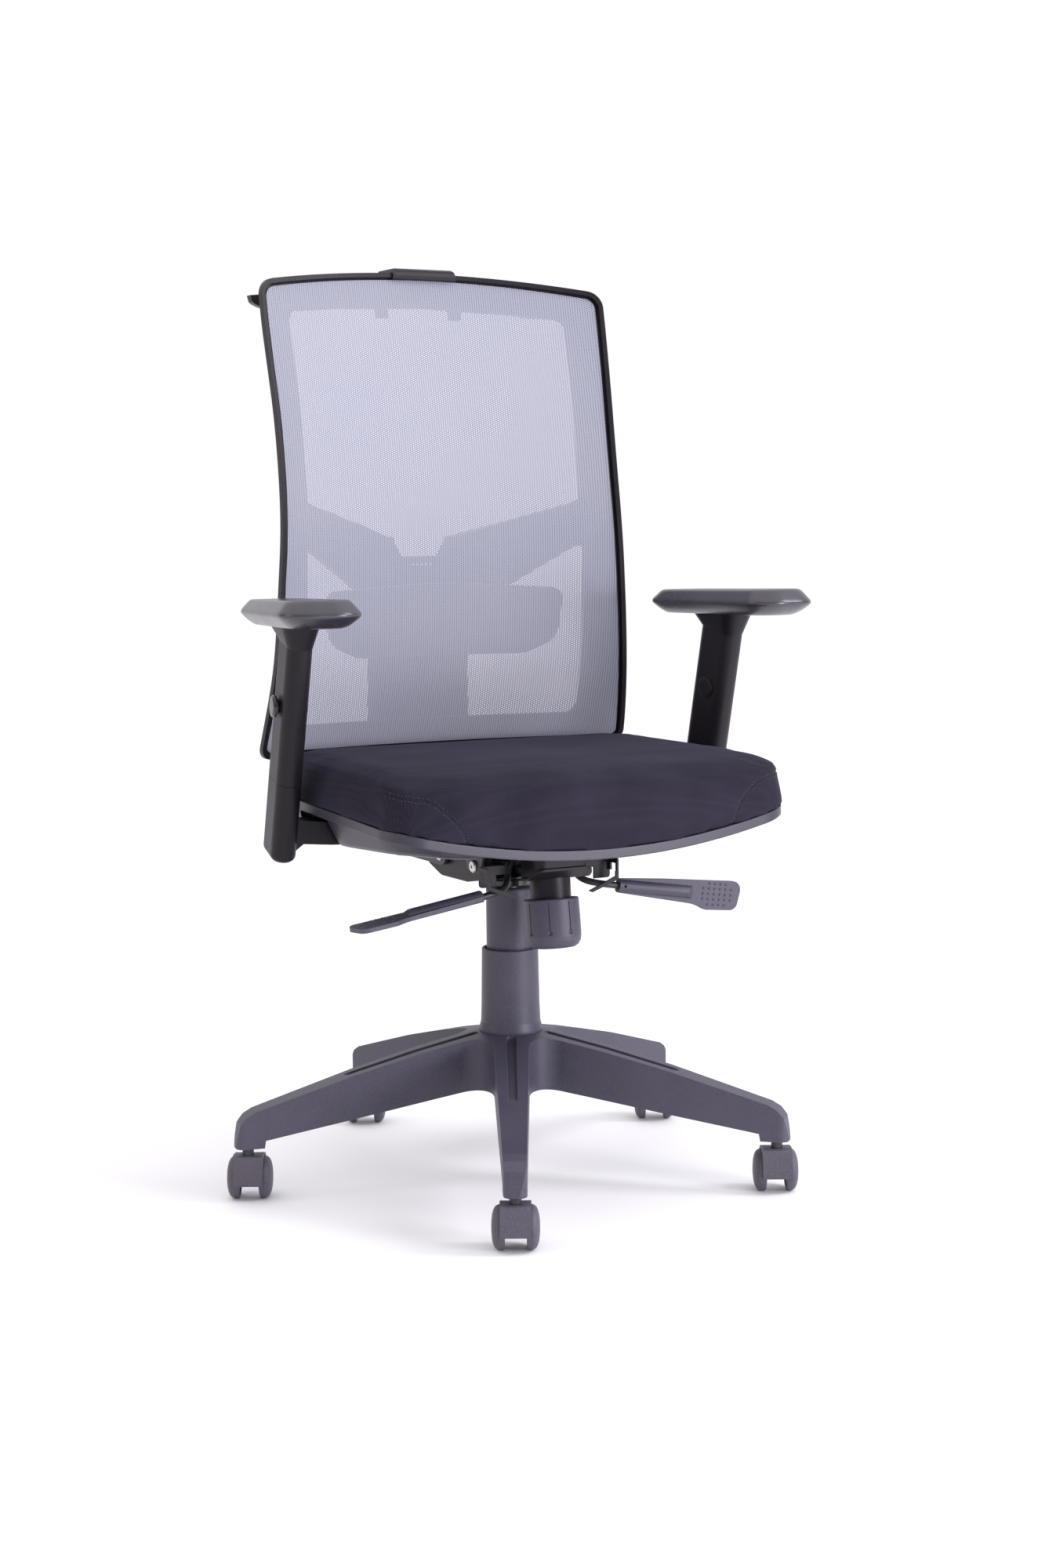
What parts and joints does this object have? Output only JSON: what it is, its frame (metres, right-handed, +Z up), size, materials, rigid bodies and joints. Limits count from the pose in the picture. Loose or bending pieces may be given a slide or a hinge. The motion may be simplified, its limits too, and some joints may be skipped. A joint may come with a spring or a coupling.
{
  "type": "swivel office chair",
  "caption": "Office armchair with a mesh back, upholstered seat, height and tilt levers, adjustable arms, gas column and a castered star base.",
  "frame": {"origin": "the swivel axis on the floor", "axes": "+Z up along the gas column, the sitter faces -Y, +X is the sitter's left"},
  "size_m": [0.6932, 0.6842, 1.1175],
  "materials": {
    "charcoal_plastic": "fine matte grain",
    "satin_black_plastic": "fine satin grain",
    "caster_plastic": "matte",
    "gloss_black": "gloss",
    "black_steel": "satin powder coat",
    "bright_steel": "zinc plated",
    "pad_skin": "soft satin skin",
    "seat_fabric": "fine dense weave",
    "back_mesh": "open knitted mesh"
  },
  "bodies": {
    "base": {"star_base": "charcoal_plastic", "gas_outer_tube": "black_steel", "lower_column_cover": "charcoal_plastic"},
    "lift": {"upper_column_cover": "charcoal_plastic"},
    "mechanism": {"mechanism_housing": "black_steel", "piston_rod": "bright_steel", "taper_bushing": "gloss_black", "tension_spring": "bright_steel", "pivot_pins": "bright_steel", "lever_clips": "satin_black_plastic"},
    "release_pin": {"release_pin": "bright_steel"},
    "tension_knob": {"tension_knob": "charcoal_plastic", "tension_bolt": "bright_steel"},
    "height_lever": {"height_lever_rod": "black_steel", "height_lever_paddle": "charcoal_plastic"},
    "tilt_lever": {"tilt_lever_rod": "black_steel", "tilt_lever_paddle": "charcoal_plastic"},
    "back": {"back_bracket": "black_steel", "back_spine": "satin_black_plastic", "rear_frame": "satin_black_plastic", "front_frame": "satin_black_plastic", "mesh_panel": "back_mesh", "back_screws": "bright_steel", "coat_hanger": "satin_black_plastic", "hanger_clip": "satin_black_plastic"},
    "lumbar": {"lumbar_pad": "charcoal_plastic"},
    "seat": {"seat_bracket": "black_steel", "seat_pan": "charcoal_plastic", "seat_cushion": "seat_fabric", "seat_screws": "bright_steel", "arm_bracket_right": "satin_black_plastic", "arm_bracket_left": "satin_black_plastic"},
    "arm_right": {"arm_sleeve_right": "satin_black_plastic", "arm_pad_right": "pad_skin", "arm_cap_right": "satin_black_plastic"},
    "arm_left": {"arm_sleeve_left": "satin_black_plastic", "arm_pad_left": "pad_skin", "arm_cap_left": "satin_black_plastic"},
    "arm_button_right": {"arm_button_right": "satin_black_plastic"},
    "arm_button_left": {"arm_button_left": "satin_black_plastic"},
    "caster_1": {"caster_hood_1": "caster_plastic", "caster_pins_1": "black_steel"},
    "wheel_1_a": {"wheel_1_a": "caster_plastic"},
    "wheel_1_b": {"wheel_1_b": "caster_plastic"},
    "caster_2": {"caster_hood_2": "caster_plastic", "caster_pins_2": "black_steel"},
    "wheel_2_a": {"wheel_2_a": "caster_plastic"},
    "wheel_2_b": {"wheel_2_b": "caster_plastic"},
    "caster_3": {"caster_hood_3": "caster_plastic", "caster_pins_3": "black_steel"},
    "wheel_3_a": {"wheel_3_a": "caster_plastic"},
    "wheel_3_b": {"wheel_3_b": "caster_plastic"},
    "caster_4": {"caster_hood_4": "caster_plastic", "caster_pins_4": "black_steel"},
    "wheel_4_a": {"wheel_4_a": "caster_plastic"},
    "wheel_4_b": {"wheel_4_b": "caster_plastic"},
    "caster_5": {"caster_hood_5": "caster_plastic", "caster_pins_5": "black_steel"},
    "wheel_5_a": {"wheel_5_a": "caster_plastic"},
    "wheel_5_b": {"wheel_5_b": "caster_plastic"}
  },
  "joints": [
    {"name": "height", "type": "slide", "parent": "base", "child": "lift", "axis": [0, 0, 1], "range_m": [-0.078, 0]},
    {"name": "swivel", "type": "hinge", "parent": "lift", "child": "mechanism", "pos_m": [0, 0, 0.3], "axis": [0, 0, 1], "continuous": true},
    {"name": "height_lever_pull", "type": "hinge", "parent": "mechanism", "child": "height_lever", "pos_m": [-0.028, -0.04, 0.405], "axis": [0, 1, 0], "range_deg": [0, 5], "stiffness_Nm_per_rad": 2, "springref_deg": -17.19},
    {"name": "release_pin_press", "type": "slide", "parent": "mechanism", "child": "release_pin", "axis": [0, 0, -1], "range_m": [0, 0.0026]},
    {"name": "tilt_lever_turn", "type": "hinge", "parent": "mechanism", "child": "tilt_lever", "pos_m": [0.028, -0.04, 0.405], "axis": [0, -1, 0], "range_deg": [0, 5]},
    {"name": "tension_knob_turn", "type": "hinge", "parent": "mechanism", "child": "tension_knob", "pos_m": [0, -0.1, 0.395], "axis": [0, 0.1219, 0.9925], "continuous": true},
    {"name": "back_recline", "type": "hinge", "parent": "mechanism", "child": "back", "pos_m": [0, 0.03, 0.4], "axis": [-1, 0, 0], "range_deg": [0, 18], "stiffness_Nm_per_rad": 60, "springref_deg": -28.65},
    {"name": "seat_tilt", "type": "hinge", "parent": "mechanism", "child": "seat", "pos_m": [0, -0.056, 0.395], "axis": [-1, 0, 0], "range_deg": [0, 8.2]},
    {"name": "lumbar_height", "type": "slide", "parent": "back", "child": "lumbar", "axis": [0, 0, 1], "range_m": [-0.03, 0.02]},
    {"name": "arm_height_right", "type": "slide", "parent": "seat", "child": "arm_right", "axis": [0, -0.2426, 0.9701], "range_m": [0, 0.07]},
    {"name": "arm_button_press_right", "type": "slide", "parent": "arm_right", "child": "arm_button_right", "axis": [0.9903, -0.135, -0.0338], "range_m": [0, 0.003], "stiffness_N_per_m": 1200, "springref_m": -0.002},
    {"name": "arm_height_left", "type": "slide", "parent": "seat", "child": "arm_left", "axis": [0, -0.2426, 0.9701], "range_m": [0, 0.07]},
    {"name": "arm_button_press_left", "type": "slide", "parent": "arm_left", "child": "arm_button_left", "axis": [-0.9903, -0.135, -0.0338], "range_m": [0, 0.003], "stiffness_N_per_m": 1200, "springref_m": -0.002},
    {"name": "caster_swivel_1", "type": "hinge", "parent": "base", "child": "caster_1", "pos_m": [-0.15212, -0.29285, 0.06], "axis": [0, 0, 1], "continuous": true},
    {"name": "wheel_spin_1_a", "type": "hinge", "parent": "caster_1", "child": "wheel_1_a", "pos_m": [-0.14454, -0.27876, 0.025], "axis": [0.8806, -0.4739, 0], "continuous": true},
    {"name": "wheel_spin_1_b", "type": "hinge", "parent": "caster_1", "child": "wheel_1_b", "pos_m": [-0.14454, -0.27876, 0.025], "axis": [0.8806, -0.4739, 0], "continuous": true},
    {"name": "caster_swivel_2", "type": "hinge", "parent": "base", "child": "caster_2", "pos_m": [0.2315, -0.23517, 0.06], "axis": [0, 0, 1], "continuous": true},
    {"name": "wheel_spin_2_a", "type": "hinge", "parent": "caster_2", "child": "wheel_2_a", "pos_m": [0.23909, -0.22108, 0.025], "axis": [0.8806, -0.4739, 0], "continuous": true},
    {"name": "wheel_spin_2_b", "type": "hinge", "parent": "caster_2", "child": "wheel_2_b", "pos_m": [0.23909, -0.22108, 0.025], "axis": [0.8806, -0.4739, 0], "continuous": true},
    {"name": "caster_swivel_3", "type": "hinge", "parent": "base", "child": "caster_3", "pos_m": [0.2952, 0.1475, 0.06], "axis": [0, 0, 1], "continuous": true},
    {"name": "wheel_spin_3_a", "type": "hinge", "parent": "caster_3", "child": "wheel_3_a", "pos_m": [0.30278, 0.16159, 0.025], "axis": [0.8806, -0.4739, 0], "continuous": true},
    {"name": "wheel_spin_3_b", "type": "hinge", "parent": "caster_3", "child": "wheel_3_b", "pos_m": [0.30278, 0.16159, 0.025], "axis": [0.8806, -0.4739, 0], "continuous": true},
    {"name": "caster_swivel_4", "type": "hinge", "parent": "base", "child": "caster_4", "pos_m": [-0.04906, 0.32633, 0.06], "axis": [0, 0, 1], "continuous": true},
    {"name": "wheel_spin_4_a", "type": "hinge", "parent": "caster_4", "child": "wheel_4_a", "pos_m": [-0.04148, 0.34042, 0.025], "axis": [0.8806, -0.4739, 0], "continuous": true},
    {"name": "wheel_spin_4_b", "type": "hinge", "parent": "caster_4", "child": "wheel_4_b", "pos_m": [-0.04148, 0.34042, 0.025], "axis": [0.8806, -0.4739, 0], "continuous": true},
    {"name": "caster_swivel_5", "type": "hinge", "parent": "base", "child": "caster_5", "pos_m": [-0.32552, 0.05418, 0.06], "axis": [0, 0, 1], "continuous": true},
    {"name": "wheel_spin_5_a", "type": "hinge", "parent": "caster_5", "child": "wheel_5_a", "pos_m": [-0.31794, 0.06827, 0.025], "axis": [0.8806, -0.4739, 0], "continuous": true},
    {"name": "wheel_spin_5_b", "type": "hinge", "parent": "caster_5", "child": "wheel_5_b", "pos_m": [-0.31794, 0.06827, 0.025], "axis": [0.8806, -0.4739, 0], "continuous": true}
  ],
  "couplings": [
    {"joint": "release_pin_press", "follows": "height_lever_pull", "m_per_rad": 0.028},
    {"joint": "seat_tilt", "follows": "back_recline", "ratio": 0.4487}
  ]
}
